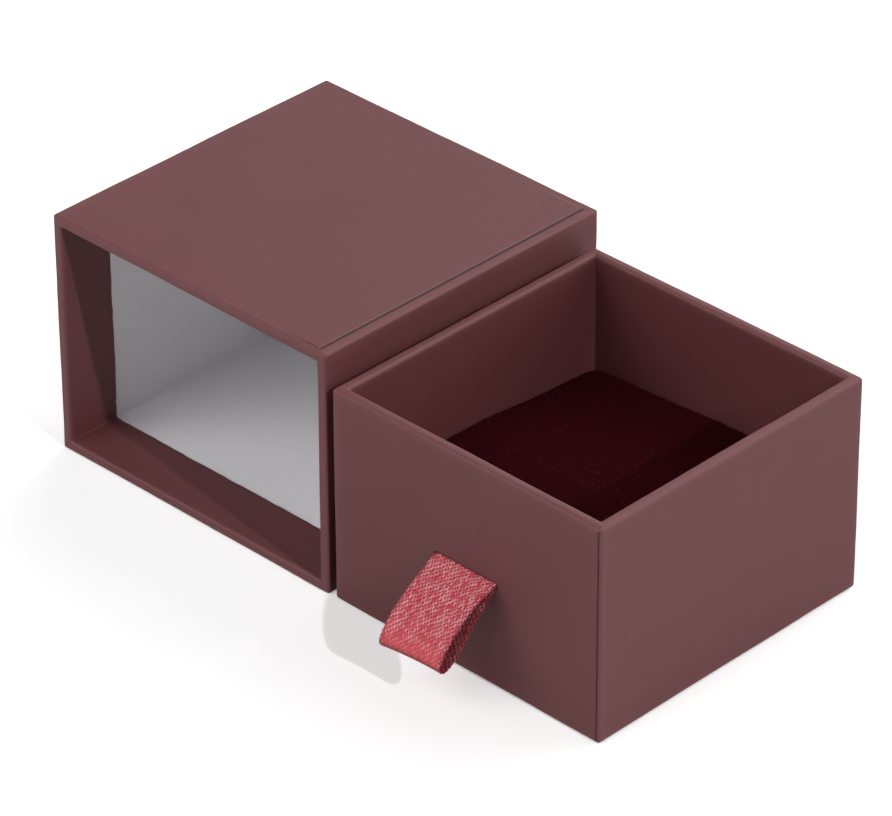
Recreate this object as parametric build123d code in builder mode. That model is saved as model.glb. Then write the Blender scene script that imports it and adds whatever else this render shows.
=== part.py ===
from build123d import *
import os

# A small rigid ring box: a paper-covered sleeve with a closed back, and the drawer that slides into its mouth.
# X runs along the sleeve's width, Y from the mouth to the back, Z up. The origin is the centre of the face
# that the sleeve rests on. The drawer stands on the same surface, beside the sleeve, flush with its mouth.

os.makedirs("parts", exist_ok=True)

# ---- sheet thicknesses ----
sleeve_board = 1.2
drawer_board = 1.5
paper = 0.2
liner = 0.15
cover = 0.15
tape = 0.1
velvet = 0.5
ribbon = 0.25

# ---- sleeve ----
sleeve_width = 60.0
sleeve_depth = 60.0
sleeve_height = 43.0
turn_in = 10.0            # how far the wrap is folded back inside the mouth
back_turn_over = 8.0      # how far the wrap is folded over the back board
seam_from_edge = 2.0      # the wrap's cut edge on the top, measured from the right edge
seam_stops_before_back = 1.8
seam_step = 0.06

# ---- drawer ----
drawer_width = 55.0
drawer_depth = 57.5
drawer_height = 38.0
base_turn_under = 10.0    # how far the wrap is folded under the base
corner_seam = 0.9         # the wrap's cut edge on the front, measured from the right edge
stay_leg = 10.0
stay_from_end = 3.0
cover_inset = 1.5         # bare edge round a glued cover paper

# ---- ribbon pull ----
slot_level = 18.3         # height of the slot above the surface
slot_length = 13.4
slot_height = 1.0
ribbon_width = 12.0
tail_length = 11.0
ribbon_gap = 0.4          # between the front face and the start of the loop

# ---- velvet pad ----
pad_clearance = 0.3
pad_height = 20.3
pad_dome_radius = 160.0
pad_edge = 0.6
pad_turn_under = 8.0

# ---- rounding of the folded edges ----
wrap_round = 0.8
edge_round = 0.6
board_round = 0.5

# ---- where the drawer stands ----
# In the sleeve, the drawer's base lies on the channel floor at x = 0. The photographed drawer has been taken
# out and set down beside the sleeve: the same drawer, moved by set_down. With set_down at (0, 0, 0) it is home.
mouth_wall = paper + sleeve_board + liner + paper
stand_gap = 1.5
set_down = Vector(sleeve_width / 2 + stand_gap + drawer_width / 2, 0, -mouth_wall)
drawer_x = 0 + set_down.X
drawer_front = -sleeve_depth / 2 + set_down.Y
drawer_y = drawer_front + drawer_depth / 2
drawer_floor = mouth_wall + set_down.Z

# ---- levels that several pieces share ----
mouth = -sleeve_depth / 2
wrap_back = sleeve_depth / 2 - cover
board_back = wrap_back - paper
tube_back = board_back - sleeve_board
tube_front = mouth + paper
tube_length = tube_back - tube_front
drawer_wall = paper + drawer_board + paper
base_bottom = drawer_floor + cover + paper
base_top = base_bottom + drawer_board
board_rim = drawer_floor + drawer_height - paper
inner_front = drawer_front + paper + drawer_board


def sleeve_section(y):
    """A plane across the sleeve at depth y, facing the back, with its local origin at half height."""
    return Plane(origin=(0, y, sleeve_height / 2), x_dir=(-1, 0, 0), z_dir=(0, 1, 0))


def drawer_level(z):
    """A level plane over the middle of the drawer's base."""
    return Plane(origin=(drawer_x, drawer_y, z))


def drawer_face(y):
    """An upright plane across the drawer at depth y, facing the back, with its local origin at the base."""
    return Plane(origin=(drawer_x, y, drawer_floor), x_dir=(-1, 0, 0), z_dir=(0, 1, 0))


def save(builder, name):
    builder.part.label = name
    export_step(builder.part, f"parts/{name}.step")


def joggled_paper(bottom, width, length, window_width, window_length):
    """A cover paper glued over folded-over edges: its margin lies on the folds, its middle on the board."""
    with BuildSketch(bottom) as panel:
        Rectangle(width, length)
    extrude(panel.sketch, amount=cover + paper)
    with BuildSketch(bottom.offset(cover)) as margin:
        Rectangle(width, length)
        Rectangle(window_width - 2 * paper, window_length - 2 * paper, mode=Mode.SUBTRACT)
    extrude(margin.sketch, amount=paper, mode=Mode.SUBTRACT)
    with BuildSketch(bottom) as middle:
        Rectangle(window_width - 4 * paper, window_length - 4 * paper)
    extrude(middle.sketch, amount=paper, mode=Mode.SUBTRACT)


# ================= the sleeve =================

# Top and bottom boards run the full width; the side boards stand between them.
flat_width = sleeve_width - 2 * paper
side_height = sleeve_height - 2 * (paper + sleeve_board)


def flat_board(centre_height, outer_side):
    with BuildSketch(sleeve_section(tube_front)) as end_face:
        with Locations((0, centre_height)):
            Rectangle(flat_width, sleeve_board)
    extrude(end_face.sketch, amount=tube_length)
    long_edges = edges().filter_by(Axis.Y).group_by(Axis.Z)[outer_side]
    fillet(long_edges, radius=edge_round)


def side_board(centre_x):
    with BuildSketch(sleeve_section(tube_front)) as end_face:
        with Locations((-centre_x, 0)):
            Rectangle(sleeve_board, side_height)
    extrude(end_face.sketch, amount=tube_length)


flat_centre = sleeve_height / 2 - paper - sleeve_board / 2
side_centre = sleeve_width / 2 - paper - sleeve_board / 2

with BuildPart() as sleeve_top_board:
    flat_board(flat_centre, -1)
save(sleeve_top_board, "sleeve_top_board")

with BuildPart() as sleeve_bottom_board:
    flat_board(-flat_centre, 0)
save(sleeve_bottom_board, "sleeve_bottom_board")

with BuildPart() as sleeve_left_board:
    side_board(-side_centre)
save(sleeve_left_board, "sleeve_left_board")

with BuildPart() as sleeve_right_board:
    side_board(side_centre)
save(sleeve_right_board, "sleeve_right_board")

with BuildPart() as sleeve_back_board:
    with BuildSketch(sleeve_section(tube_back)):
        RectangleRounded(flat_width, sleeve_height - 2 * paper, edge_round)
    extrude(amount=sleeve_board)
save(sleeve_back_board, "sleeve_back_board")

# One strip of tape closes the folded board tube along its lower right edge.
with BuildPart() as sleeve_closing_tape:
    with BuildSketch(sleeve_section(tube_front + stay_from_end)):
        RectangleRounded(flat_width + 2 * tape, sleeve_height - 2 * paper + 2 * tape, edge_round + tape)
        RectangleRounded(flat_width, sleeve_height - 2 * paper, edge_round, mode=Mode.SUBTRACT)
        with Locations((-sleeve_width / 2, -sleeve_height / 2)):
            Rectangle(2 * stay_leg, 2 * stay_leg, mode=Mode.INTERSECT)
    extrude(amount=tube_length - 2 * stay_from_end)
save(sleeve_closing_tape, "sleeve_closing_tape")

# The white lining is a five-sided cup glued inside the board tube.
lining_width = sleeve_width - 2 * (paper + sleeve_board)
lining_height = sleeve_height - 2 * (paper + sleeve_board)
lining_back = tube_back - liner

with BuildPart() as sleeve_lining:
    with BuildSketch(sleeve_section(tube_front)):
        Rectangle(lining_width, lining_height)
    extrude(amount=tube_length)
    with BuildSketch(sleeve_section(tube_front)):
        Rectangle(lining_width - 2 * liner, lining_height - 2 * liner)
    extrude(amount=lining_back - tube_front, mode=Mode.SUBTRACT)
save(sleeve_lining, "sleeve_lining")

# The wrap is what is left between the outer form and the boards: the outside, the folded mouth, the turn-in
# and the edges folded over the back board.
channel_width = sleeve_width - 2 * mouth_wall
channel_height = sleeve_height - 2 * mouth_wall

with BuildPart() as sleeve_wrap:
    with BuildSketch(sleeve_section(mouth)):
        RectangleRounded(sleeve_width, sleeve_height, wrap_round)
    extrude(amount=wrap_back - mouth)
    with BuildSketch(sleeve_section(mouth)):
        Rectangle(channel_width, channel_height)
    extrude(amount=lining_back - mouth, mode=Mode.SUBTRACT)
    mouth_edges = faces().sort_by(Axis.Y)[0].edges()
    fillet(mouth_edges, radius=board_round)
    # behind the turn-in only the white lining covers the boards
    with BuildSketch(sleeve_section(mouth + turn_in)):
        Rectangle(lining_width - 2 * liner, lining_height - 2 * liner)
    extrude(amount=lining_back - mouth - turn_in, mode=Mode.SUBTRACT)
    # the back is open inside the folded-over edges
    with BuildSketch(sleeve_section(board_back)):
        Rectangle(sleeve_width - 2 * back_turn_over, sleeve_height - 2 * back_turn_over)
    extrude(amount=paper, mode=Mode.SUBTRACT)
    # right of the seam lies the under layer of the overlap, a paper's step lower
    seam_length = sleeve_depth - seam_stops_before_back
    with BuildSketch(Plane(origin=(sleeve_width / 2, mouth, sleeve_height))):
        Rectangle(seam_from_edge, seam_length, align=(Align.MAX, Align.MIN))
    extrude(amount=-seam_step, mode=Mode.SUBTRACT)
    add(
        [
            sleeve_top_board.part,
            sleeve_bottom_board.part,
            sleeve_left_board.part,
            sleeve_right_board.part,
            sleeve_back_board.part,
            sleeve_closing_tape.part,
            sleeve_lining.part,
        ],
        mode=Mode.SUBTRACT,
    )
save(sleeve_wrap, "sleeve_wrap")

with BuildPart() as sleeve_back_paper:
    joggled_paper(
        Plane(origin=(0, sleeve_depth / 2, sleeve_height / 2), x_dir=(1, 0, 0), z_dir=(0, -1, 0)),
        sleeve_width - 2 * cover_inset,
        sleeve_height - 2 * cover_inset,
        sleeve_width - 2 * back_turn_over,
        sleeve_height - 2 * back_turn_over,
    )
save(sleeve_back_paper, "sleeve_back_paper")

# ================= the drawer =================

# The side boards run the full depth; the front and back boards stand between them, round the base board.
wall_depth = drawer_depth - 2 * paper
cross_width = drawer_width - 2 * (paper + drawer_board)
base_depth = drawer_depth - 2 * (paper + drawer_board)
wall_height = board_rim - base_bottom


def round_rim():
    fillet(faces().sort_by(Axis.Z)[-1].edges().sort_by(SortBy.LENGTH)[-2:], radius=board_round)


def drawer_side_board(centre_x):
    with BuildSketch(drawer_level(base_bottom)) as footprint:
        with Locations((centre_x, 0)):
            Rectangle(drawer_board, wall_depth)
    extrude(footprint.sketch, amount=wall_height)
    round_rim()
    outer = -1 if centre_x > 0 else 0
    fillet(edges().filter_by(Axis.Z).group_by(Axis.X)[outer], radius=edge_round)


def drawer_cross_board(centre_y):
    with BuildSketch(drawer_level(base_bottom)) as footprint:
        with Locations((0, centre_y)):
            Rectangle(cross_width, drawer_board)
    extrude(footprint.sketch, amount=wall_height)
    round_rim()


drawer_side_centre = drawer_width / 2 - paper - drawer_board / 2
drawer_cross_centre = drawer_depth / 2 - paper - drawer_board / 2

with BuildPart() as drawer_base_board:
    with BuildSketch(drawer_level(base_bottom)):
        Rectangle(cross_width, base_depth)
    extrude(amount=drawer_board)
save(drawer_base_board, "drawer_base_board")

# The ribbon's slot goes through the front board; below it, on the inside, the tails lie in a pressed seat.
slot_middle = slot_level - drawer_floor


def cut_slot(depth):
    with BuildSketch(drawer_face(drawer_front)) as slot:
        with Locations((0, slot_middle)):
            SlotOverall(slot_length, slot_height)
    extrude(slot.sketch, amount=depth, mode=Mode.SUBTRACT)


def cut_tail_seat():
    with BuildSketch(drawer_face(inner_front)) as seat:
        with Locations((0, slot_middle)):
            Rectangle(ribbon_width + ribbon, tail_length + ribbon, align=(Align.CENTER, Align.MAX))
    extrude(seat.sketch, amount=-2 * ribbon, mode=Mode.SUBTRACT)


with BuildPart() as drawer_front_board:
    drawer_cross_board(-drawer_cross_centre)
    cut_slot(drawer_wall)
    cut_tail_seat()
save(drawer_front_board, "drawer_front_board")

with BuildPart() as drawer_back_board:
    drawer_cross_board(drawer_cross_centre)
save(drawer_back_board, "drawer_back_board")

with BuildPart() as drawer_left_board:
    drawer_side_board(-drawer_side_centre)
save(drawer_left_board, "drawer_left_board")

with BuildPart() as drawer_right_board:
    drawer_side_board(drawer_side_centre)
save(drawer_right_board, "drawer_right_board")

# A paper stay is glued round each upright corner of the boards.
corner_stays = []
for end, end_sign in (("front", -1), ("back", 1)):
    for side, side_sign in (("left", -1), ("right", 1)):
        with BuildPart() as corner_stay:
            with BuildSketch(drawer_level(base_bottom + stay_from_end)):
                RectangleRounded(drawer_width - 2 * paper + 2 * tape, wall_depth + 2 * tape, edge_round + tape)
                RectangleRounded(drawer_width - 2 * paper, wall_depth, edge_round, mode=Mode.SUBTRACT)
                with Locations((side_sign * drawer_width / 2, end_sign * drawer_depth / 2)):
                    Rectangle(2 * stay_leg, 2 * stay_leg, mode=Mode.INTERSECT)
            extrude(amount=wall_height - 2 * stay_from_end)
        save(corner_stay, f"drawer_corner_stay_{end}_{side}")
        corner_stays.append(corner_stay.part)

# The ribbon's two ends lie together in the slot, turn down behind the board and are glued in its seat.
tail_line = inner_front - ribbon
tail_bend = 2 * ribbon

with BuildPart() as ribbon_tails:
    with BuildSketch(Plane.YZ.offset(drawer_x)):
        with BuildLine():
            FilletPolyline(
                (drawer_front + paper, slot_level),
                (tail_line, slot_level),
                (tail_line, slot_level - tail_length),
                radius=tail_bend,
            )
        trace(line_width=2 * ribbon)
    extrude(amount=ribbon_width / 2, both=True)
save(ribbon_tails, "ribbon_tails")

# The drawer's wrap: outside, over the rim, down the inside walls to the base board, and folded under.
with BuildPart() as drawer_wrap:
    with BuildSketch(drawer_level(drawer_floor + cover)):
        RectangleRounded(drawer_width, drawer_depth, wrap_round)
    extrude(amount=drawer_height - cover)
    with BuildSketch(drawer_level(base_top)):
        Rectangle(drawer_width - 2 * drawer_wall, drawer_depth - 2 * drawer_wall)
    extrude(amount=drawer_height, mode=Mode.SUBTRACT)
    fillet(faces().sort_by(Axis.Z)[-1].edges(), radius=edge_round)
    fillet(faces().sort_by(Axis.Z)[0].edges(), radius=board_round)
    with BuildSketch(drawer_level(drawer_floor + cover)):
        Rectangle(drawer_width - 2 * base_turn_under, drawer_depth - 2 * base_turn_under)
    extrude(amount=paper, mode=Mode.SUBTRACT)
    # the cut edge of the overlap at the front right corner
    with BuildSketch(drawer_level(base_bottom)):
        with Locations((drawer_width / 2, -drawer_depth / 2)):
            Rectangle(corner_seam, seam_step, align=(Align.MAX, Align.MIN))
    extrude(amount=wall_height - wrap_round, mode=Mode.SUBTRACT)
    add(
        [
            drawer_base_board.part,
            drawer_front_board.part,
            drawer_back_board.part,
            drawer_left_board.part,
            drawer_right_board.part,
            *corner_stays,
        ],
        mode=Mode.SUBTRACT,
    )
    cut_slot(paper + drawer_board)
    cut_tail_seat()
save(drawer_wrap, "drawer_wrap")

with BuildPart() as drawer_base_paper:
    joggled_paper(
        drawer_level(drawer_floor),
        drawer_width - 2 * cover_inset,
        drawer_depth - 2 * cover_inset,
        drawer_width - 2 * base_turn_under,
        drawer_depth - 2 * base_turn_under,
    )
save(drawer_base_paper, "drawer_base_paper")

# ================= the velvet pad =================

pad_width = drawer_width - 2 * drawer_wall - 2 * pad_clearance
pad_depth = drawer_depth - 2 * drawer_wall - 2 * pad_clearance
pad_bottom = base_top + tape


def domed_block(inset):
    """A block whose top is a shallow dome, lowest at the four corners."""
    with Locations((drawer_x, drawer_y, pad_bottom + inset)):
        Box(
            pad_width - 2 * inset,
            pad_depth - 2 * inset,
            pad_height,
            align=(Align.CENTER, Align.CENTER, Align.MIN),
        )
    with Locations((drawer_x, drawer_y, pad_bottom + pad_height - pad_dome_radius)):
        Sphere(pad_dome_radius - inset, rotation=(90, 0, 0), mode=Mode.INTERSECT)


with BuildPart() as foam_block:
    domed_block(velvet)
save(foam_block, "foam_block")

# The velvet is drawn over the foam and glued under its edges.
with BuildPart() as velvet_cover:
    domed_block(0)
    chamfer(faces().sort_by(Axis.Z)[-1].edges(), length=pad_edge)
    with BuildSketch(drawer_level(pad_bottom)):
        Rectangle(pad_width - 2 * pad_turn_under, pad_depth - 2 * pad_turn_under)
    extrude(amount=velvet, mode=Mode.SUBTRACT)
    add(foam_block.part, mode=Mode.SUBTRACT)
save(velvet_cover, "velvet_cover")

# ================= the ribbon pull =================

# A flattened drop: the upper layer leaves the slot nearly level and bends down to a round fold, and the lower
# layer comes back to the slot almost straight.
layer_offset = 0.14
fold_radius = 0.85
fold_turn = 167
loop_start = drawer_front - ribbon_gap

with BuildPart() as ribbon_pull:
    with BuildSketch(Plane.YZ.offset(drawer_x)):
        with BuildLine():
            upper_layer = ThreePointArc(
                (loop_start, slot_level + layer_offset),
                (drawer_front - 6.6, slot_level - 3.5),
                (drawer_front - 11.7, slot_level - 9.0),
            )
            fold = JernArc(upper_layer @ 1, upper_layer % 1, fold_radius, fold_turn)
            TangentArc(fold @ 1, (loop_start, slot_level - layer_offset), tangent=fold % 1)
        trace(line_width=ribbon)
    extrude(amount=ribbon_width / 2, both=True)
save(ribbon_pull, "ribbon_pull")
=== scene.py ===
import math

import bmesh
import bpy
import numpy as np
from mathutils import Matrix, Vector, noise


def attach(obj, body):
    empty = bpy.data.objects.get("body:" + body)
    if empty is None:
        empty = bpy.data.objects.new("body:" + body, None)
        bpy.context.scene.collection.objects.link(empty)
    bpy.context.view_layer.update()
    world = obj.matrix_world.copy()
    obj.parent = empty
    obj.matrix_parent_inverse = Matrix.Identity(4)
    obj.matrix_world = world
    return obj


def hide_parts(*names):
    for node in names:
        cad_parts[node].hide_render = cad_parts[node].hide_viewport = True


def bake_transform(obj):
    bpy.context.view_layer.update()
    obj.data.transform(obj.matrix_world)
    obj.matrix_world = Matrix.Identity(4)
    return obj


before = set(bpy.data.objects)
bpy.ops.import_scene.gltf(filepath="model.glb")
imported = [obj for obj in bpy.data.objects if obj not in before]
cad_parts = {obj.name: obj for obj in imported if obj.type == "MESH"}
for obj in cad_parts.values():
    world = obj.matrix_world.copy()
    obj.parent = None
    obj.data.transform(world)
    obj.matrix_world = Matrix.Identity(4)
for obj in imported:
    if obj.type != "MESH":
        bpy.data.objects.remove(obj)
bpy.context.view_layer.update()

# ---------------------------------------------------------------------------------------------------------
# The sleeve's boards. Five pieces of 1.2 mm greyboard: a tube that is scored and folded, closed along one
# edge, and a back board glued on its end. Only cut edges of it ever show, in the ribbon's slot and seat.

mm = 0.001


def colour(red, green, blue):
    """A colour as it looks on a screen, 0 to 255, in the linear values that a material takes."""
    shares = (red / 255, green / 255, blue / 255)
    return tuple(s / 12.92 if s <= 0.04045 else ((s + 0.055) / 1.055) ** 2.4 for s in shares) + (1.0,)


class Wire:
    """An output socket in a finish. Arithmetic on it adds Math nodes."""

    def __init__(self, finish, socket):
        self.finish, self.socket = finish, socket

    def math(self, operation, *others):
        """A Math node on this value, and on others where it takes more than one."""
        return self.finish.node("ShaderNodeMath", {"operation": operation}, dict(enumerate((self, *others))))

    def __add__(self, other):
        return self.math("ADD", other)

    def __sub__(self, other):
        return self.math("SUBTRACT", other)

    def __rsub__(self, other):
        return self.math("MULTIPLY_ADD", -1.0, other)

    def __mul__(self, other):
        return self.math("MULTIPLY", other)

    def __truediv__(self, other):
        return self.math("DIVIDE", other)

    def __pow__(self, other):
        return self.math("POWER", other)

    __radd__, __rmul__ = __add__, __mul__


class Finish:
    """One material, built up node by node round its shader."""

    def __init__(self, name, holder=None, shader="Principled BSDF"):
        self.material = holder or bpy.data.materials.new(name)
        self.material.use_nodes = True
        self.tree = self.material.node_tree
        self.shader = self.tree.nodes[shader]

    def node(self, kind, settings=None, values=None, output=0):
        """Any node, from its type, its settings and the values or wires of its sockets. Gives one output."""
        made = self.tree.nodes.new(kind)
        for name, value in (settings or {}).items():
            setattr(made, name, value)
        for name, value in (values or {}).items():
            if isinstance(value, Wire):
                self.tree.links.new(value.socket, made.inputs[name])
            else:
                made.inputs[name].default_value = value
        return Wire(self, made.outputs[output])

    def place(self):
        """Where a point of the piece is, in metres, before the piece is moved."""
        return self.node("ShaderNodeTexCoord", output="Object")

    def grain(self, size, detail=3.0, seed=0.0, where=None):
        """Soft noise from 0 to 1, whose spots are about size metres across."""
        ends = {0: where or self.place(), 1: (seed, seed, seed)}
        shifted = self.node("ShaderNodeVectorMath", {"operation": "ADD"}, ends)
        sockets = {"Vector": shifted, "Scale": 1 / size, "Detail": detail, "Roughness": 0.55}
        return self.node("ShaderNodeTexNoise", None, sockets)

    def mix(self, share, low, high):
        """A colour between two others."""
        return self.node("ShaderNodeMix", {"data_type": "RGBA"}, {0: share, 6: low, 7: high}, output=2)

    def mask(self, name):
        """A value painted on the piece's points, from 0 to 1."""
        return self.node("ShaderNodeAttribute", {"attribute_name": name}, output="Fac")

    def relief(self, height, depth):
        """A surface normal from a height of 0 to 1 that stands for depth metres."""
        return self.node("ShaderNodeBump", None, {"Height": height, "Distance": depth, "Strength": 1.0})

    def set(self, **sockets):
        """Gives the shader's sockets their values or wires."""
        for name, value in sockets.items():
            socket = self.shader.inputs[name.replace("_", " ")]
            if isinstance(value, Wire):
                self.tree.links.new(value.socket, socket)
            else:
                socket.default_value = value
        return self.material


def greyboard_finish():
    board = Finish("greyboard")
    fibres = board.grain(0.35 * mm, 4.0)
    clouds = board.grain(3.0 * mm, 2.0, seed=4.0)
    flecks = board.grain(0.6 * mm, 1.0, seed=9.0).math("GREATER_THAN", 0.66)
    pulp = board.mix(fibres, colour(134, 126, 116), colour(168, 160, 149))
    pulp = board.mix(clouds * 0.4, pulp, colour(146, 134, 118))
    pulp = board.mix(flecks * 0.55, pulp, colour(88, 84, 82))
    return board.set(
        Base_Color=pulp,
        Roughness=0.86 + 0.1 * (fibres - 0.5),
        Normal=board.relief(fibres, 0.06 * mm),
    )


greyboard = greyboard_finish()


def dress_nodes(names, material):
    """Gives CAD pieces that keep their own shape their finish."""
    for name in names:
        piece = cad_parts[name]
        piece.data.materials.clear()
        piece.data.materials.append(material)


sleeve_boards = ["top", "bottom", "left", "right", "back"]
dress_nodes([f"sleeve_{side}_board" for side in sleeve_boards], greyboard)

# ---------------------------------------------------------------------------------------------------------
# The closing tape. One strip of thin white paper tape glued round the tube's lower right edge, under the
# wrap, where the folded board's two ends meet.


def tape_finish():
    strip = Finish("stay_tape")
    fibres = strip.grain(0.25 * mm, 4.0, seed=2.0)
    return strip.set(
        Base_Color=strip.mix(fibres, colour(196, 187, 170), colour(222, 215, 201)),
        Roughness=0.7 + 0.12 * fibres,
        Normal=strip.relief(fibres, 0.03 * mm),
    )


stay_tape = tape_finish()
dress_nodes(["sleeve_closing_tape"], stay_tape)

# ---------------------------------------------------------------------------------------------------------
# The lining. White uncoated paper glued inside the board tube and over the back board before the wrap goes
# on, so that it runs under the turned-in edge. Its folds can't reach right into the corners.

sleeve_width, sleeve_depth, sleeve_height = 60.0, 60.0, 43.0
board_and_wrap = 1.4
lining_surface = 1.55     # from the outside of the sleeve to the lining's white face
lining_back = 28.3
lining_front = -29.6
lining_fold = 0.35        # the radius of its folds
arc_steps = 6             # of each rounded corner


def shares(length, step, extra=()):
    """Where a side's points lie between its ends, as shares of it: one every step, and those in extra."""
    even = np.linspace(0, 1, max(2, round(length / step)) + 1)[1:-1]
    wanted = np.array(sorted(extra))
    if len(wanted):
        even = even[[np.abs(wanted - e).min() * length > 0.3 * step for e in even]]
    return np.array(sorted([*even, *wanted]))


def rounded_ring(half_width, half_height, radius, across, up):
    """Points round a rectangle with rounded corners, anticlockwise from the left end of its lower side."""
    wide, high = half_width - radius, half_height - radius
    ring = []
    sides = (
        [(x, -half_height) for x in (2 * across - 1) * wide],
        [(half_width, y) for y in (2 * up - 1) * high],
        [(x, half_height) for x in (2 * across[::-1] - 1) * wide],
        [(-half_width, y) for y in (2 * up[::-1] - 1) * high],
    )
    corners = ((wide, -high, -90), (wide, high, 0), (-wide, high, 90), (-wide, -high, 180))
    for side, (x, y, start) in zip(sides, corners):
        ring += side
        for turn in np.radians(np.linspace(start, start + 90, arc_steps + 1)):
            ring.append((x + radius * math.cos(turn), y + radius * math.sin(turn)))
    return np.array(ring)


def build(name, points, faces, material, masks=None):
    """A smooth mesh piece from points in mm."""
    mesh = bpy.data.meshes.new(name)
    mesh.from_pydata((np.asarray(points, float) * mm).tolist(), [], [list(map(int, f)) for f in faces])
    mesh.shade_smooth()
    mesh.materials.append(material)
    for mask, values in (masks or {}).items():
        layer = mesh.attributes.new(mask, "FLOAT", "POINT")
        layer.data.foreach_set("value", np.asarray(values, np.float32).ravel())
    piece = bpy.data.objects.new(name, mesh)
    bpy.context.scene.collection.objects.link(piece)
    return piece


def quads(rows, columns, closed):
    """The faces of a net of points, row by row. Its rows can close on themselves."""
    index = np.arange(rows * columns).reshape(rows, columns)
    here, beside = (index, np.roll(index, -1, 1)) if closed else (index[:, :-1], index[:, 1:])
    return np.stack([here[:-1], beside[:-1], beside[1:], here[1:]], -1).reshape(-1, 4)


def ripple(piece, size, depth, seed):
    """Moves a piece's points a little along their normals, as glued paper is never quite flat."""
    mesh = piece.data
    offset = Vector((seed, -seed, 2 * seed))
    for vertex, normal in zip(mesh.vertices, [n.vector.copy() for n in mesh.vertex_normals]):
        vertex.co += normal * (depth * mm * noise.noise(vertex.co / (size * mm) + offset))


def paper_white():
    lining = Finish("white_paper")
    fibres = lining.grain(0.22 * mm, 5.0, seed=1.0)
    clouds = lining.grain(5.0 * mm, 2.0, seed=6.0)
    sheet = lining.mix(fibres, colour(240, 239, 242), colour(250, 249, 251))
    sheet = lining.mix(clouds * 0.25, sheet, colour(236, 235, 240))
    return lining.set(
        Base_Color=sheet,
        Roughness=0.62 + 0.16 * (fibres - 0.5),
        Normal=lining.relief(fibres, 0.02 * mm),
    )


white_paper = paper_white()


def sleeve_lining():
    across = shares(sleeve_width, 1.2)
    up = shares(sleeve_height, 1.2)
    bend = lining_back - lining_fold
    deep = [(y, lining_surface) for y in np.linspace(lining_front, bend, 50)]
    for turn in np.radians(np.linspace(15, 90, 6)):
        inset = lining_surface + lining_fold * (1 - math.cos(turn))
        deep.append((bend + lining_fold * math.sin(turn), inset))
    rings = []
    for y, inset in deep:
        section = rounded_ring(sleeve_width / 2 - inset, sleeve_height / 2 - inset, lining_fold, across, up)
        rings.append([(x, y, sleeve_height / 2 + z) for x, z in section])
    faces = quads(len(rings), len(rings[0]), True)
    cup = build("sleeve_lining_sheet", np.reshape(rings, (-1, 3)), faces, white_paper)
    # the lining of the back board, a flat sheet behind the last ring
    half_width, half_height = sleeve_width / 2 - board_and_wrap, sleeve_height / 2 - board_and_wrap
    xs, zs = np.linspace(-half_width, half_width, 46), np.linspace(-half_height, half_height, 34)
    net = [(x, lining_back + 0.01, sleeve_height / 2 + z) for z in zs for x in xs]
    end = build("sleeve_lining_end", net, quads(len(zs), len(xs), False), white_paper)
    for sheet, seed in ((cup, 3.1), (end, 8.4)):
        ripple(sheet, 16, 0.07, seed)
        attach(sheet, "sleeve")
    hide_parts("sleeve_lining")
    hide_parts("sleeve_lining")


sleeve_lining()

# ---------------------------------------------------------------------------------------------------------
# The sleeve's wrap. One sheet of dyed burgundy paper, glued round the tube with its cut edge on the top,
# near the right. Its front edge is folded into the mouth, and its back edge over the back board.

turn_in = 10.0            # inside the mouth
turn_over = 8.0           # on the back
wrap_back = 29.85
mouth_wall = 1.75         # of the sleeve at its mouth, with the paper on both sides
seam_from_edge = 2.0
seam_stops = 1.8          # before the back
seam_starts = 0.9         # behind the mouth
paper_step = 0.09
lap_width = 9.0           # of the overlap beside a cut edge
crease_width = 0.25       # of the groove beside a cut edge, and of the painted shadow along it
corner_round = 0.45
mouth_round = 0.45
broad_ripple = (14, 0.08) # the size and depth of the wrap's unevenness
fine_ripple = (2.2, 0.02)


def wrap_finish():
    wrap = Finish("wrap_paper")
    fibres = wrap.grain(0.18 * mm, 5.0, seed=3.0)
    tooth = wrap.grain(0.55 * mm, 3.0, seed=5.0)
    clouds = wrap.grain(9.0 * mm, 2.0, seed=7.0)
    fold = wrap.mask("fold")
    dye_wear_and_shadow = wrap.mix(clouds, colour(103, 54, 57), colour(109, 58, 59))
    dye_wear_and_shadow = wrap.mix(fibres * 0.5, dye_wear_and_shadow, colour(96, 49, 53))
    dye_wear_and_shadow = wrap.mix(fold * (0.08 + 0.22 * tooth), dye_wear_and_shadow, colour(140, 88, 90))
    # painted shadow: the groove along each cut edge is darkened in colour as well as cut in
    dye_wear_and_shadow = wrap.mix(wrap.mask("groove_shadow") * 0.95, dye_wear_and_shadow, colour(38, 14, 17))
    return wrap.set(
        Base_Color=dye_wear_and_shadow,
        Roughness=0.55 + 0.14 * (tooth - 0.5) + 0.06 * fold,
        Normal=wrap.relief(0.6 * fibres + 0.4 * tooth, 0.03 * mm),
    )


wrap_paper = wrap_finish()


def wander(along, seed, size=4.0):
    """How a hand-trimmed edge strays, from about -1 to 1."""
    fine = noise.noise(Vector((along / size * 3.7, seed, 5)))
    return noise.noise(Vector((along / size, seed, 0))) + 0.5 * fine


def quarter():
    """The turns of a quarter circle, in radians."""
    return np.radians(np.linspace(0, 90, arc_steps + 1))


def corner_folds(count_across, count_up):
    """For a rounded ring, 1 on its corner points and less beside them."""
    corner = [1.0] * (arc_steps + 1)
    half_ring = []
    for count in (count_across, count_up):
        half_ring += [0.35] + [0.0] * (count - 2) + [0.35] + corner
    return np.array(half_ring * 2)


def lap(distance):
    """How far a sheet stands up at a distance from its cut edge, which is less than 0 off the overlap."""
    if distance < -crease_width:
        return 0.0
    if distance < 0.02:
        return -0.05
    share = min(1.0, distance / lap_width)
    return paper_step * (1 - share * share * (3 - 2 * share))


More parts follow.
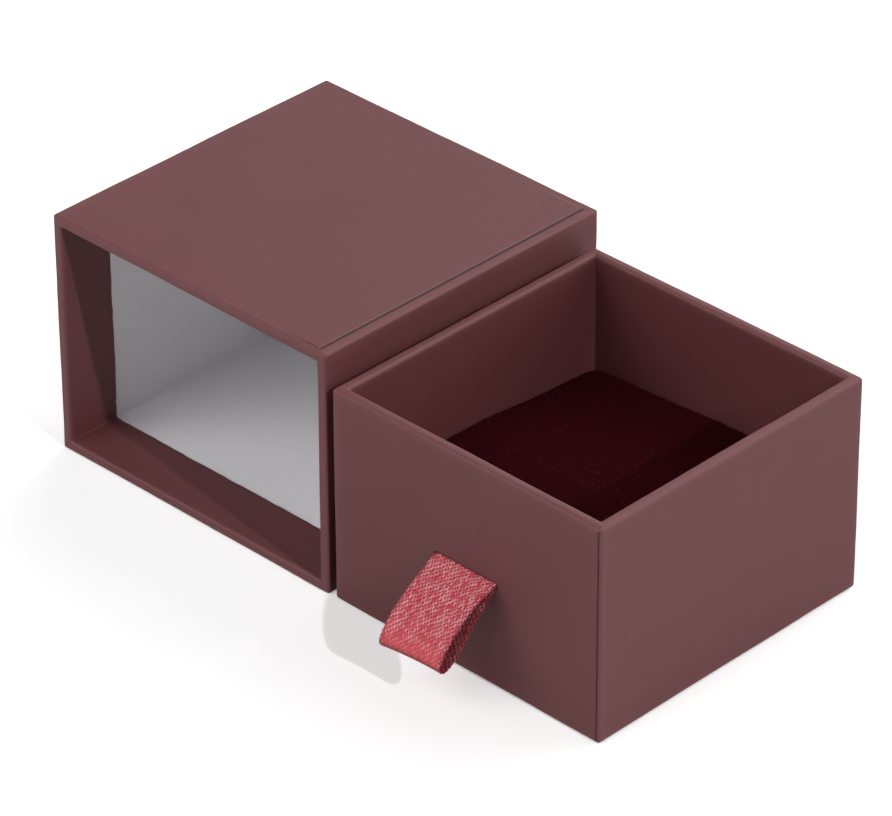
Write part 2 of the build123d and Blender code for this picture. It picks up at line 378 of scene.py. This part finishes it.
def sleeve_wrap():
    half_width, half_height = sleeve_width / 2, sleeve_height / 2
    straight = 2 * (half_width - corner_round)
    seam = half_width - seam_from_edge
    seam_lines = [(seam + s + straight / 2) / straight for s in (-0.5, -0.05, 0.0, 0.06, 0.12, 0.17, 0.5)]
    across = shares(straight, 1.0, seam_lines)
    up = shares(sleeve_height, 1.0)

    path = [(wrap_back - 0.2, turn_over, 0), (wrap_back, turn_over, 0)]
    path += [(wrap_back, inset, 0) for inset in np.linspace(turn_over - 0.6, 0.7, 9)]
    centre = 0.55
    for a in quarter():
        path.append((wrap_back - centre + centre * math.cos(a), centre - centre * math.sin(a), 1))
    stop = sleeve_depth / 2 - seam_stops
    back_rows = [29.0, 28.7, stop + 0.15, stop + 0.02, stop - 0.02, stop - 0.15, 27.5]
    front_rows = [-28.6, -28.9, -29.0, -29.12, -29.2]
    rows = back_rows + list(np.linspace(26.5, -27.5, 54)) + front_rows
    path += [(y, 0.0, 0) for y in rows]
    middle = -sleeve_depth / 2 + mouth_round
    path += [(middle - mouth_round * math.sin(a), mouth_round * (1 - math.cos(a)), 1) for a in quarter()]
    inner = mouth_wall - mouth_round
    path += [(-sleeve_depth / 2, inset, 0.8) for inset in np.linspace(mouth_round, inner, 4)[1:-1]]
    for a in quarter():
        path.append((middle - mouth_round * math.cos(a), inner + mouth_round * math.sin(a), 0.8))
    end = -sleeve_depth / 2 + turn_in
    path += [(y, mouth_wall, 0) for y in np.linspace(middle + 0.5, end, 14)]
    path += [(end + 0.03, mouth_wall - 0.05, 0), (end + 0.03, lining_surface - 0.02, 0)]

    rings, folds, groove_shadows = [], [], []
    corner = corner_folds(len(across), len(up))
    for y, inset, fold in path:
        radius = max(corner_round - inset, 0.2)
        section = rounded_ring(half_width - inset, half_height - inset, radius, across, up)
        turned_in = inset > lining_surface - 0.1 and middle + 0.5 < y < 0
        share = (y - middle) / turn_in if turned_in else 0.0
        for x, z in section:
            bow = 0.3 * noise.noise(Vector((x / 20, z / 20, 1)))
            stray = share * (0.2 * wander(x * 1.3 + z, 2.0) + bow)
            rise = groove_shadow = 0.0
            if z > half_height - 0.01 and seam_starts < y + sleeve_depth / 2 and y < stop:
                rise = lap(seam - x)
                # painted shadow: points in the groove at the cut edge get the darker colour
                groove_shadow = 1.0 if rise < 0 else 0.0
            rings.append((x, y + stray, half_height + z + rise))
            groove_shadows.append(groove_shadow)
        folds.append(np.maximum(corner if inset < 1.2 else 0.3 * corner, fold))
    faces = quads(len(path), len(corner), True)
    wrap = build("sleeve_wrap_sheet", rings, faces, wrap_paper, {"fold": folds, "groove_shadow": groove_shadows})
    ripple(wrap, *broad_ripple, 1.7)
    ripple(wrap, *fine_ripple, 5.2)
    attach(wrap, "sleeve")
    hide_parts("sleeve_wrap")


sleeve_wrap()

# ---------------------------------------------------------------------------------------------------------
# The back panel. A cut rectangle of the same paper, glued over the wrap's edges on the back board.
# Those edges and their mitred corners show through it as a low step.

panel_bare = 1.5          # the wrap that shows round it
panel_thick = 0.15


def cover_panel(name, width, length, window, to_frame, body, node, seed):
    """A cut sheet of wrap paper over folded edges, modelled lying flat. to_frame takes it to its place."""
    half_width, half_length = width / 2 - panel_bare, length / 2 - panel_bare
    xs = np.linspace(-half_width, half_width, 96)
    ys = np.linspace(-half_length, half_length, 84)
    net, folds = [], []
    for j, y in enumerate(ys):
        for i, x in enumerate(xs):
            from_edge = min(width / 2 - abs(x), length / 2 - abs(y))
            sunk = 0.5 + 0.5 * math.tanh((from_edge - window + 0.3 * wander(x + y, seed, 9)) / 0.35)
            mitre = abs((width / 2 - abs(x)) - (length / 2 - abs(y)))
            ridge = 0.05 * math.exp(-((mitre / 0.5) ** 2)) * (1 - sunk)
            level = panel_thick - 0.13 * sunk + ridge
            on_edge = i in (0, len(xs) - 1) or j in (0, len(ys) - 1)
            trim = 0.04 * wander(x + 2 * y, seed + 1, 6) if on_edge else 0.0
            net.append((x + math.copysign(trim, x), y + math.copysign(trim, y), level))
            folds.append(0.25 if on_edge else 0.0)
    count = len(net)
    rows, columns = len(ys), len(xs)
    index = np.arange(count).reshape(rows, columns)
    rim = np.concatenate([index[0, :-1], index[:-1, -1], index[-1, :0:-1], index[:0:-1, 0]])
    net += [(net[k][0], net[k][1], -0.03) for k in rim]
    skirt = count + np.arange(len(rim))
    sides = np.stack([rim, skirt, np.roll(skirt, -1), np.roll(rim, -1)], -1)
    faces = np.concatenate([quads(rows, columns, False), sides])
    points = [to_frame(*p) for p in net]
    panel = build(name, points, faces, wrap_paper, {"fold": folds + [0.3] * len(rim)})
    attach(panel, body)
    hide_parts(node)


cover_panel(
    "sleeve_back_panel",
    sleeve_width,
    sleeve_height,
    turn_over,
    lambda x, y, z: (-x, sleeve_depth / 2 - panel_thick + z, sleeve_height / 2 + y),
    "sleeve",
    "sleeve_back_paper",
    4.0,
)

# ---------------------------------------------------------------------------------------------------------
# The drawer's boards and stays. A base of 1.5 mm greyboard with four walls round it, held at the upright
# corners by folded paper stays. The front board has the punched slot for the ribbon.

drawer_boards = ["base", "front", "back", "left", "right"]
dress_nodes([f"drawer_{side}_board" for side in drawer_boards], greyboard)
corners = [f"drawer_corner_stay_{end}_{side}" for end in ("front", "back") for side in ("left", "right")]
dress_nodes(corners, stay_tape)

# ---------------------------------------------------------------------------------------------------------
# The drawer's wrap. One strip of the burgundy paper round the four walls, with its cut edge on the front at
# the right corner. It is folded over the rim and down the inside, and 10 mm under the base.

drawer_width, drawer_depth, drawer_height = 55.0, 57.5, 38.0
drawer_x, drawer_y = 59.0, -1.25
drawer_wall = 1.9         # with the paper on both sides
turn_under = 10.0
floor_level = 1.87
rim_round = 0.6
base_round = 0.5
edge_seam = 0.62          # from the right side to the cut edge
slot_level = 18.3
slot_length, slot_height = 13.2, 1.0
slot_x = drawer_x + 0.3   # its middle
slot_lip = 0.9            # of paper pressed into the slot


def drawer_wrap():
    half_width, half_depth = drawer_width / 2, drawer_depth / 2
    straight = 2 * (half_width - corner_round)
    slot_end = slot_length / 2
    off = slot_x - drawer_x
    lines = [off + s * (slot_end + e) for s in (-1, 1) for e in (-0.8, -0.5, -0.3, -0.12, 0.0, 0.15, 0.5)]
    lines += [half_width - edge_seam + s for s in (-0.6, -0.06, 0.0, 0.05)]
    across = shares(straight, 1.0, [(x + straight / 2) / straight for x in lines])
    up = shares(drawer_depth, 1.0)

    path = [(0.35, turn_under, 0), (0.15, turn_under, 0)]
    path += [(0.15, inset, 0) for inset in np.linspace(turn_under - 0.7, base_round + 0.2, 10)]
    low = 0.15 + base_round
    path += [(low - base_round * math.cos(a), base_round * (1 - math.sin(a)), 1) for a in quarter()]
    slot_rows = [slot_level + s for s in (-0.8, -0.5, -0.42, -0.22, 0, 0.22, 0.42, 0.5, 0.8)]
    levels = [z for z in np.arange(1.5, drawer_height - 1.0, 1.0) if abs(z - slot_level) > 1.0]
    path += [(z, 0.0, 0) for z in sorted(levels + slot_rows)]
    rim = drawer_height - rim_round
    path += [(rim + rim_round * math.sin(a), rim_round * (1 - math.cos(a)), 1) for a in quarter()]
    path += [(drawer_height, drawer_wall / 2, 0.85)]
    inner = drawer_wall - rim_round
    path += [(rim + rim_round * math.cos(a), inner + rim_round * math.sin(a), 0.9) for a in quarter()]
    path += [(z, drawer_wall, 0) for z in np.linspace(rim - 0.8, floor_level, 34)]

    rings, folds, groove_shadows = [], [], []
    corner = corner_folds(len(across), len(up))
    for z, inset, fold in path:
        radius = max(corner_round - inset, 0.22)
        for x, y in rounded_ring(half_width - inset, half_depth - inset, radius, across, up):
            rise = groove_shadow = 0.0
            if y < -half_depth + 0.01 and inset < 0.05 and z < rim + 0.1:
                rise = lap(half_width - edge_seam + 0.05 * wander(z, 3.0, 8) - x)
                # painted shadow: points in the groove at the cut edge get the darker colour
                groove_shadow = 1.0 if rise < 0 else 0.0
            rings.append((drawer_x + x, drawer_y + y - rise, z))
            groove_shadows.append(groove_shadow)
        folds.append(np.maximum(corner if inset < 1.2 else 0.3 * corner, fold))
    points = np.array(rings)
    faces = quads(len(path), len(corner), True)

    # the slot: faces inside it go, and its outline is pressed in round the punch
    front = drawer_y - half_depth
    straight_half = slot_end - slot_height / 2
    centres = points[faces].mean(1)
    run = np.abs(centres[:, 0] - slot_x) - straight_half
    reach = np.hypot(np.maximum(run, 0), centres[:, 2] - slot_level)
    punched = (reach < slot_height / 2) & (np.abs(centres[:, 1] - front) < 0.05)
    kept = faces[~punched]
    rim_points = np.intersect1d(np.unique(faces[punched]), np.unique(kept))
    for k in rim_points:
        side = math.copysign(1.0, points[k, 0] - slot_x)
        run = max(abs(points[k, 0] - slot_x) - straight_half, 0.0)
        rise = points[k, 2] - slot_level
        size = math.hypot(run, rise) or 1.0
        points[k, 2] = slot_level + rise / size * slot_height / 2
        if run > 0:
            points[k, 0] = slot_x + side * (straight_half + run / size * slot_height / 2)

    mask = np.reshape(folds, -1)
    wrap = build("drawer_wrap_sheet", points, kept, wrap_paper, {"fold": mask, "groove_shadow": groove_shadows})
    body = bmesh.new()
    body.from_mesh(wrap.data)
    bmesh.ops.delete(body, geom=[v for v in body.verts if not v.link_faces], context="VERTS")
    near_slot = [
        e
        for e in body.edges
        if e.is_boundary
        and abs(e.verts[0].co.y - front * mm) < 0.05 * mm
        and abs(e.verts[0].co.z - slot_level * mm) < 2 * mm
    ]
    lip = bmesh.ops.extrude_edge_only(body, edges=near_slot)["geom"]
    for vertex in (v for v in lip if isinstance(v, bmesh.types.BMVert)):
        vertex.co.y += slot_lip * mm
    body.to_mesh(wrap.data)
    body.free()
    wrap.data.shade_smooth()
    ripple(wrap, *broad_ripple, 6.3)
    ripple(wrap, *fine_ripple, 2.9)
    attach(wrap, "drawer")
    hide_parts("drawer_wrap")


drawer_wrap()

# ---------------------------------------------------------------------------------------------------------
# The base panel. A cut rectangle of the burgundy paper, glued over the wrap's edges under the base, which
# show through it as they do on the sleeve's back.

cover_panel(
    "drawer_base_panel",
    drawer_width,
    drawer_depth,
    turn_under,
    lambda x, y, z: (drawer_x + x, drawer_y - y, panel_thick - z),
    "drawer",
    "drawer_base_paper",
    7.0,
)

# ---------------------------------------------------------------------------------------------------------
# The foam. A block of soft open-celled foam, cut a little smaller than the drawer and rounded by the velvet
# that is drawn over it. It shows only in the window under the pad.

pad_width, pad_depth, pad_height = 50.6, 53.1, 20.3
pad_bottom = 1.95
pad_dome = 160.0          # the radius of its top
sag_by_left = (1.0, 13.5) # how deep the top is pushed in beside the left wall, and how far from the back
sag_by_back = (0.8, 17.0) # the same beside the back wall, from the left
sag_spread, sag_fade = 11.0, 9.0
velvet_thick = 0.5


def rounded_block(half, radius, step):
    """A closed block with rounded edges, centred on its own middle, as a net of about step mm."""
    body = bmesh.new()
    axes = []
    for h in half:
        flat = np.linspace(-(h - radius), h - radius, max(2, round(2 * (h - radius) / step)) + 1)
        bend = h - radius + radius * np.tan(np.radians(np.linspace(0, 45, 6)))[1:]
        axes.append(np.concatenate([-bend[::-1], flat, bend]))
    for fixed in range(3):
        others = [a for a in range(3) if a != fixed]
        first, second = axes[others[0]], axes[others[1]]
        for sign in (-1, 1):
            net = []
            for b in second:
                row = []
                for a in first:
                    point = [0.0, 0.0, 0.0]
                    point[fixed], point[others[0]], point[others[1]] = sign * half[fixed], a, b
                    row.append(body.verts.new(point))
                net.append(row)
            for low, high in zip(net, net[1:]):
                for k in range(len(first) - 1):
                    face = [low[k], low[k + 1], high[k + 1], high[k]]
                    outward = sign * (1 if fixed != 1 else -1)
                    body.faces.new(face if outward > 0 else face[::-1])
    bmesh.ops.remove_doubles(body, verts=body.verts, dist=1e-4)
    for vertex in body.verts:
        core = Vector([max(-(h - radius), min(h - radius, c)) for h, c in zip(half, vertex.co)])
        out = vertex.co - core
        if out.length > 0:
            vertex.co = core + out.normalized() * radius
    body.verts.index_update()
    points = [v.co[:] for v in body.verts]
    faces = [[v.index for v in f.verts] for f in body.faces]
    body.free()
    return np.array(points), faces


def foam_finish():
    foam = Finish("foam")
    where = foam.place()
    sockets = {"Vector": where, "Scale": 1 / (0.45 * mm)}
    cells = foam.node("ShaderNodeTexVoronoi", {"feature": "F1"}, sockets, output="Distance")
    pits = foam.node("ShaderNodeClamp", None, {"Value": cells * 1.4})
    clouds = foam.grain(4.0 * mm, 2.0, seed=12.0)
    # painted shade: the foam is darker where its surface lies low, at the cells' edges
    grey_and_cell_shade = foam.mix(pits, colour(96, 92, 96), colour(46, 43, 47))
    return foam.set(
        Base_Color=foam.mix(clouds * 0.3, grey_and_cell_shade, colour(70, 67, 70)),
        Roughness=0.95,
        Normal=foam.relief(1 - pits, 0.12 * mm),
    )


def domed(points, half):
    """Lowers a block's top into a dome that sags at the back left, and moves the block into the drawer."""
    x, y = points[:, 0], points[:, 1]
    from_left, from_back = x + pad_width / 2, pad_depth / 2 - y
    drop = (x**2 + y**2) / (2 * pad_dome)
    sags = ((sag_by_left, from_back, from_left), (sag_by_back, from_left, from_back))
    for (deep, middle), along, away in sags:
        drop += deep * np.exp(-(((along - middle) / sag_spread) ** 2) - away / sag_fade)
    points[:, 2] -= drop * np.clip((points[:, 2] + half[2]) / (2 * half[2]), 0, 1)
    return points + np.array((drawer_x, drawer_y, pad_bottom + pad_height / 2))


def foam_block():
    half = (pad_width / 2 - velvet_thick, pad_depth / 2 - velvet_thick, pad_height / 2 - velvet_thick)
    points, faces = rounded_block(half, 0.6, 1.2)
    points = domed(points, half)
    foam = build("pad_foam", points, faces, foam_finish())
    ripple(foam, 1.0, 0.08, 3.3)
    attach(foam, "pad")
    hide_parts("foam_block")


foam_block()

# ---------------------------------------------------------------------------------------------------------
# The velvet. Dark wine-red velvet drawn over the foam and glued under its edges. The pile is short and
# dense, and stands up in small tufts that catch the light.

pile_round = 1.1
velvet_under = 8.0


def velvet_finish():
    velvet = Finish("velvet")
    tufts = velvet.grain(0.28 * mm, 4.0, seed=14.0)
    nap = velvet.grain(3.5 * mm, 3.0, seed=15.0)
    # painted highlights: light specks on the pile where its tufts would catch the light
    sparks = velvet.grain(0.3 * mm, 1.0, seed=17.0)
    lit = velvet.node("ShaderNodeMapRange", None, {"Value": sparks, "From Min": 0.66, "From Max": 0.78})
    deep = velvet.mix(nap, colour(44, 4, 7), colour(54, 4, 16))
    deep = velvet.mix(tufts * 0.6, deep, colour(22, 1, 4))
    return velvet.set(
        Base_Color=velvet.mix(lit * 0.8, deep, colour(104, 44, 50)),
        Roughness=0.95,
        Specular_IOR_Level=0.03,
        Sheen_Weight=0.05,
        Sheen_Roughness=0.5,
        Sheen_Tint=colour(200, 80, 90),
        Normal=velvet.relief(0.7 * tufts + 0.3 * nap, 0.16 * mm),
    )


def velvet_cover():
    half = (pad_width / 2, pad_depth / 2, pad_height / 2)
    points, faces = rounded_block(half, pile_round, 0.55)
    window = (half[0] - velvet_under, half[1] - velvet_under)
    middles = np.array([points[f].mean(0) for f in faces])
    underneath = middles[:, 2] < -half[2] + 0.01
    opened = underneath & (abs(middles[:, 0]) < window[0]) & (abs(middles[:, 1]) < window[1])
    faces = [f for f, gone in zip(faces, opened) if not gone]
    # the glued edges lie flat under the pad, and only its upper edges are round
    below = points[:, 2] < 0
    for axis in (0, 1):
        near = below & (np.abs(points[:, axis]) > half[axis] - pile_round)
        sharp = half[axis] - 0.45 * (half[axis] - np.abs(points[near, axis]))
        points[near, axis] = np.sign(points[near, axis]) * sharp
    points = domed(points, half)
    cover = build("velvet_pad", points, faces, velvet_finish())
    body = bmesh.new()
    body.from_mesh(cover.data)
    bmesh.ops.delete(body, geom=[v for v in body.verts if not v.link_faces], context="VERTS")
    hem = bmesh.ops.extrude_edge_only(body, edges=[e for e in body.edges if e.is_boundary])["geom"]
    for vertex in (v for v in hem if isinstance(v, bmesh.types.BMVert)):
        vertex.co.z += velvet_thick * mm
    body.to_mesh(cover.data)
    body.free()
    cover.data.shade_smooth()
    ripple(cover, 0.7, 0.14, 4.4)
    ripple(cover, 9.0, 0.12, 7.7)
    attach(cover, "pad")
    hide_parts("velvet_cover")


velvet_cover()

# ---------------------------------------------------------------------------------------------------------
# The ribbon pull. One length of half-inch satin ribbon with woven edges, shiny outside and dull inside.
# Both ends go through the slot and are glued behind the front board. The loop hangs as a flattened drop.

ribbon_width = 12.7
ribbon_thick = 0.25
edge_loops = 0.62         # from one turn of the weft thread at the edges to the next
thread_width = 0.36
float_length = 0.9        # of a warp thread, between its dips
front_face = -30.0
tail_line = -28.55        # the middle of the two tails behind the board
layer_gap = 0.135         # from there to the middle of each tail


def smooth_path(points, step):
    """Points every step mm on a smooth line through the given ones."""
    curve = bpy.data.curves.new("route", "CURVE")
    curve.dimensions = "3D"
    curve.resolution_u = 24
    spline = curve.splines.new("BEZIER")
    spline.bezier_points.add(len(points) - 1)
    for target, point in zip(spline.bezier_points, points):
        target.co = point
        target.handle_left_type = target.handle_right_type = "AUTO"
    holder = bpy.data.objects.new("route", curve)
    bpy.context.scene.collection.objects.link(holder)
    bpy.context.view_layer.update()
    line = bpy.data.meshes.new_from_object(holder.evaluated_get(bpy.context.evaluated_depsgraph_get()))
    found = np.array([v.co[:] for v in line.vertices])
    bpy.data.objects.remove(holder)
    bpy.data.curves.remove(curve)
    bpy.data.meshes.remove(line)
    steps = np.concatenate([[0], np.cumsum(np.linalg.norm(np.diff(found, axis=0), axis=1))])
    wanted = np.linspace(0, steps[-1], round(steps[-1] / step))
    return np.stack([np.interp(wanted, steps, found[:, k]) for k in range(3)], -1), steps[-1]


def satin_finish():
    satin = Finish("satin")
    sheet = satin.node("ShaderNodeUVMap", {"uv_map": "cloth"})
    across = satin.node("ShaderNodeSeparateXYZ", None, {"Vector": sheet}, output="X")
    along = satin.node("ShaderNodeSeparateXYZ", None, {"Vector": sheet}, output="Y")
    # the warp threads run along the ribbon, and each dips under a weft thread at its own place
    thread = across / thread_width + 0.6 * (satin.grain(0.9, 1.0, seed=20.0, where=sheet) - 0.5)
    number = thread.math("FLOOR")
    ridge = (thread * math.pi).math("SINE").math("ABSOLUTE")
    shift = satin.grain(1.3, 1.0, seed=25.0, where=sheet) - 0.5
    phase = along / float_length + number * 0.381 + 0.9 * shift
    dip = phase.math("PINGPONG", 0.5) * 2
    float_height = satin.node("ShaderNodeMapRange", None, {"Value": dip, "From Min": 0.05, "From Max": 0.6})
    cell = satin.node("ShaderNodeCombineXYZ", None, {0: number, 1: phase.math("FLOOR")})
    glint = satin.node("ShaderNodeTexWhiteNoise", {"noise_dimensions": "2D"}, {"Vector": cell})
    uneven = satin.grain(0.45, 2.0, seed=21.0, where=sheet)
    streaks = satin.grain(2.6, 2.0, seed=23.0, where=sheet)
    height = ridge * float_height * (0.45 + 1.1 * uneven)
    edge = satin.mask("selvage")
    dull_and_shaded = satin.mask("inside")
    # painted highlights: bright glints on raised floats, fewer round the bend and inside the loop
    painted_glints = height * glint * (1 - 0.7 * satin.mask("bend")) * (1 - 0.55 * dull_and_shaded)
    # painted shade and sheen: darker in the gaps between threads, lighter on the raised floats
    dye_and_painted_light = satin.mix(height, colour(128, 2, 18), colour(255, 56, 84))
    dye_and_painted_light = satin.mix(streaks * 0.3, dye_and_painted_light, colour(246, 58, 76))
    # painted shade: the loop round its bend, its lower part, is darker and less bright in colour
    dye_and_painted_light = satin.mix(satin.mask("bend") * 0.5, dye_and_painted_light, colour(226, 62, 68))
    # the inner face is darker: partly the duller back of the ribbon, partly painted shade inside the loop
    dye_and_painted_light = satin.mix(dull_and_shaded * 0.6, dye_and_painted_light, colour(110, 4, 20))
    dye_and_painted_light = satin.mix(painted_glints * 1.1, dye_and_painted_light, colour(255, 186, 194))
    # painted shade: darker where the loop folds at its lowest point
    dye_and_painted_light = satin.mix(satin.mask("fold") * 0.8, dye_and_painted_light, colour(126, 6, 20))
    # painted shade: darker in the low places of the woven edges
    dye_and_painted_light = satin.mix(edge * (1 - height) * 0.8, dye_and_painted_light, colour(92, 3, 16))
    return satin.set(
        Base_Color=dye_and_painted_light,
        Roughness=0.2 + 0.38 * (1 - height),
        Specular_IOR_Level=0.8,
        Sheen_Weight=0.25,
        Sheen_Roughness=0.35,
        Sheen_Tint=colour(255, 170, 176),
        Normal=satin.relief(height, 0.11 * mm),
    )


def ribbon_pull():
    # the run of the ribbon from one glued end to the other: where it is from front to back, and how high
    outer, nearer = tail_line - layer_gap, tail_line + layer_gap
    route = [(outer, 7.3), (outer, 13.0), (outer, 16.8), (outer - 0.25, 18.1), (-29.3, 18.43)]
    route += [(-30.1, 18.4), (-32.5, 17.3), (-35.0, 15.95), (-37.4, 14.3), (-39.4, 12.6), (-40.9, 10.9)]
    route += [(-41.75, 9.5), (-41.8, 8.6), (-41.1, 8.05), (-40.0, 8.3), (-38.9, 9.1), (-37.6, 10.3)]
    route += [(-36.3, 11.7), (-34.2, 13.9), (-32.2, 15.9), (-31.0, 17.2), (-30.1, 18.05), (-29.3, 18.16)]
    route += [(nearer - 0.3, 18.0), (nearer, 17.0), (nearer, 13.0), (nearer, 7.3)]
    line, length = smooth_path([(0.0, y, z) for y, z in route], 0.12)
    ahead = np.gradient(line, axis=0)
    ahead /= np.linalg.norm(ahead, axis=1)[:, None]
    facing = np.stack([np.zeros(len(ahead)), -ahead[:, 2], ahead[:, 1]], -1)
    travel = np.linspace(0, length, len(line))
    hanging = np.clip((front_face - line[:, 1]) / 3.0, 0, 1)
    loop_turns = 2 * math.pi * travel / edge_loops

    def place(k, x, off):
        """A point of the loop, x across it and off its middle. The loop is a little twisted and cupped."""
        lean = 0.07 * x * hanging[k]
        cup = 0.2 * hanging[k] * ((2 * x / ribbon_width) ** 2 - 0.35)
        point = line[k] + facing[k] * (off - cup)
        return (slot_x + x, point[1], point[2] + lean)

    cross = np.linspace(-0.5, 0.5, 41) * (ribbon_width - 0.2)
    net, sheet, masks = [], [], []
    # painted shade: how much of the darker colour the loop gets round its bend
    bent = np.exp(-(((travel - length / 2) / 3.5) ** 2))
    # painted shade: where the fold at the bottom of the loop is painted darker
    fold_shade = np.exp(-(((travel - travel[line[:, 1].argmin()] - 0.35) / 0.5) ** 2))
    for side in (1, -1):
        for k in range(len(line)):
            for x in cross * side:
                inside = (ribbon_width - 0.2) / 2 - abs(x)
                scallop = 0.05 * math.sin(loop_turns[k]) if inside < 0.01 else 0.0
                off = side * ribbon_thick / 2 * (0.2 + 0.8 * math.sqrt(min(1.0, inside / 0.15)))
                net.append(place(k, x + math.copysign(scallop, x), off))
                sheet.append((x, travel[k]))
                masks.append((max(0.0, 1 - inside / 0.7), bent[k], side > 0, fold_shade[k]))
    rows, columns = len(line), len(cross)
    faces = [quads(rows, columns, False), rows * columns + quads(rows, columns, False)]
    # the weft thread turns round the outermost warp thread at each edge
    for edge in (-1, 1):
        first = len(net)
        for k in range(len(line)):
            for turn in np.radians(np.arange(0, 360, 60)):
                x = ribbon_width / 2 - 0.14 + 0.09 * math.cos(loop_turns[k]) + 0.07 * math.cos(turn)
                off = 0.1 * math.sin(loop_turns[k]) + 0.07 * math.sin(turn)
                net.append(place(k, edge * x, off))
                sheet.append((edge * (ribbon_width / 2 - 0.15), travel[k]))
                masks.append((0.35, 0.0, 0.5, 0.0))
        tube = first + quads(len(line), 6, True)
        faces.append(tube if edge > 0 else tube[:, ::-1])
    masks = dict(zip(("selvage", "bend", "inside", "fold"), zip(*masks)))
    ribbon = build("satin_ribbon", net, np.concatenate(faces), satin_finish(), masks)
    layer = ribbon.data.uv_layers.new(name="cloth")
    corners = np.zeros(len(ribbon.data.loops), np.int32)
    ribbon.data.loops.foreach_get("vertex_index", corners)
    layer.data.foreach_set("uv", np.array(sheet, np.float32)[corners].ravel())
    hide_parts("ribbon_pull", "ribbon_tails")
    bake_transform(ribbon)


ribbon_pull()

# ---------------------------------------------------------------------------------------------------------
# The studio. A wide white table, one lamp from the right that leaves fairly crisp shadows in the mouth,
# soft boxes at the front and behind, and a long lens.

table_half, table_level = 900.0, -0.02
table_glow = 0.3          # lifts the table to white for the lens, and lights nothing
box_focus = 20.0          # how closely a soft box keeps to its place

# the soft boxes: degrees round from the front of the table to its right, degrees up, and how bright
front_boxes = ((-30, 30, 5.0), (0, 52, 1.75))
back_boxes = ((120, 30, 0.9), (150, 10, 3.8), (180, 30, 3.6), (175, 52, 2.5), (210, 10, 2.8))


def table():
    sweep = Finish("white_table")
    rays = sweep.node("ShaderNodeLightPath", output="Is Camera Ray")
    grain = sweep.grain(6.0 * mm, 2.0, seed=30.0)
    grey = sweep.mix(grain, (0.74, 0.74, 0.745, 1), (0.76, 0.76, 0.765, 1))
    surface = sweep.set(
        Base_Color=sweep.mix(rays, grey, (1.0, 1.0, 1.0, 1)),
        Roughness=0.9,
        Specular_IOR_Level=0.0,
        Emission_Color=sweep.mix(rays, (0.0, 0.0, 0.0, 1), (table_glow, table_glow, table_glow, 1)),
        Emission_Strength=1.0,
    )
    lines = np.linspace(-table_half, table_half, 19)
    net = [(x, y, table_level) for y in lines for x in lines]
    floor = build("table", net, quads(len(lines), len(lines), False), surface)


table()


def studio_light():
    world = bpy.data.worlds.new("studio")
    bpy.context.scene.world = world
    room = Finish("studio", world, "Background")
    way = room.node("ShaderNodeTexCoord", output="Generated")
    glow = 0.0
    for turn, height, bright in front_boxes + back_boxes:
        turn, height = math.radians(turn), math.radians(height)
        towards = (math.cos(height) * math.sin(turn), -math.cos(height) * math.cos(turn), math.sin(height))
        ends = {0: way, 1: towards}
        facing = room.node("ShaderNodeVectorMath", {"operation": "DOT_PRODUCT"}, ends, output="Value")
        glow = facing.math("MAXIMUM", 0.0) ** box_focus * bright + glow
    seen = room.node("ShaderNodeLightPath", output="Is Camera Ray")
    room.set(Color=(1.0, 0.995, 1.0, 1), Strength=seen + (1 - seen) * glow)

    lamp = bpy.data.lights.new("key_lamp", "SUN")
    lamp.energy = 1.13
    lamp.angle = math.radians(1.5)
    key = bpy.data.objects.new("key_lamp", lamp)
    bpy.context.scene.collection.objects.link(key)
    key.rotation_euler = Vector((1.0, -0.143, 0.72)).to_track_quat("Z", "Y").to_euler()


studio_light()


def long_lens():
    lens = bpy.data.cameras.new("long_lens")
    lens.sensor_width = 36.0
    lens.lens = 227.7
    lens.clip_start, lens.clip_end = 0.05, 10.0
    camera = bpy.data.objects.new("long_lens", lens)
    bpy.context.scene.collection.objects.link(camera)
    place, target = Vector((542.05, -526.15, 487.47)) * mm, Vector((30.82, -5.0, 22.77)) * mm
    forward = (target - place).normalized()
    right = forward.cross(Vector((0, 0, 1))).normalized()
    up = right.cross(forward)
    roll = math.radians(-0.247)
    across = math.cos(roll) * right + math.sin(roll) * up
    upward = math.cos(roll) * up - math.sin(roll) * right
    turned = Matrix((across, upward, -forward)).transposed().to_4x4()
    camera.matrix_world = Matrix.Translation(place) @ turned
    bpy.context.scene.camera = camera


long_lens()
bpy.context.scene.view_settings.view_transform = "Standard"
